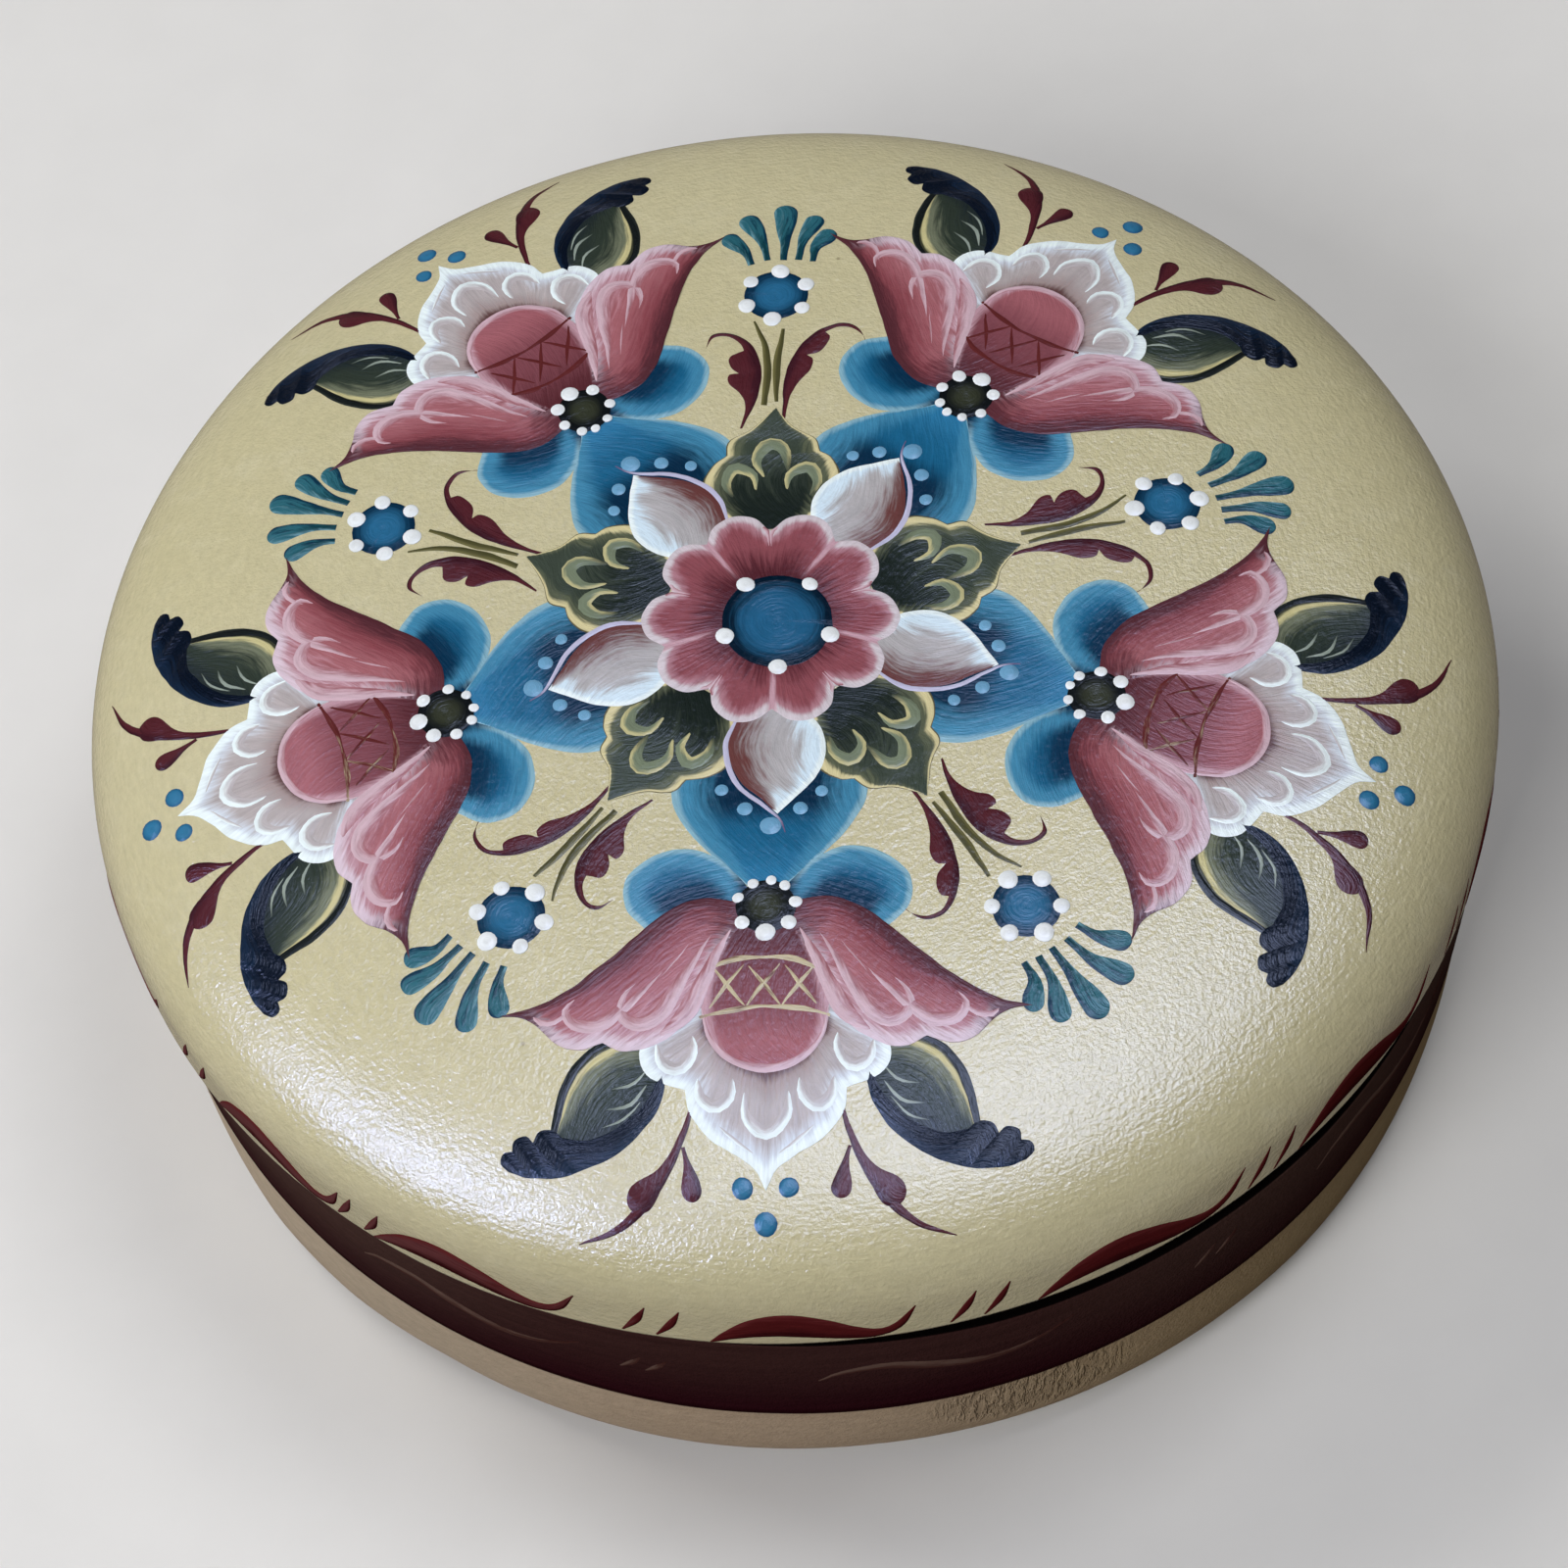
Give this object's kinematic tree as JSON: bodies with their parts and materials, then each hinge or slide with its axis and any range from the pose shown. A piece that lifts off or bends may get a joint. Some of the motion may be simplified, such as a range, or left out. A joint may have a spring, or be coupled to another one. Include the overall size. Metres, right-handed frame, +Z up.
{
  "type": "trinket box",
  "caption": "Round turned wooden box with a hollow domed lid that lifts off a spigot on a shallow bowl-shaped base, painted with traditional flowers.",
  "frame": {"origin": "centre of the flat underside of the base, on the surface that the box stands on", "axes": "+Z up along the turning axis; one painted tulip points along -Y"},
  "size_m": [0.2, 0.2, 0.0715],
  "materials": {
    "base_paint": "satin maroon oil paint over wood, the band round the base",
    "lid_paint": "satin cream oil paint over wood",
    "rose_paint": "satin rose oil paint of the painted flowers",
    "blue_paint": "satin blue oil paint of the painted flowers",
    "green_paint": "satin dark green oil paint of the painted leaves",
    "white_paint": "satin white oil paint of the painted edges and dots",
    "maroon_paint": "satin maroon oil paint of the painted sprigs and borders",
    "inside_wood": "sealed bare wood inside both pieces"
  },
  "bodies": {
    "base": {"base": "base_paint"},
    "lid": {"lid": "lid_paint"}
  },
  "joints": [
    {"name": "lid_lift", "type": "slide", "parent": "base", "child": "lid", "axis": [0, 0, 1], "range_m": [0, 0.08]}
  ]
}
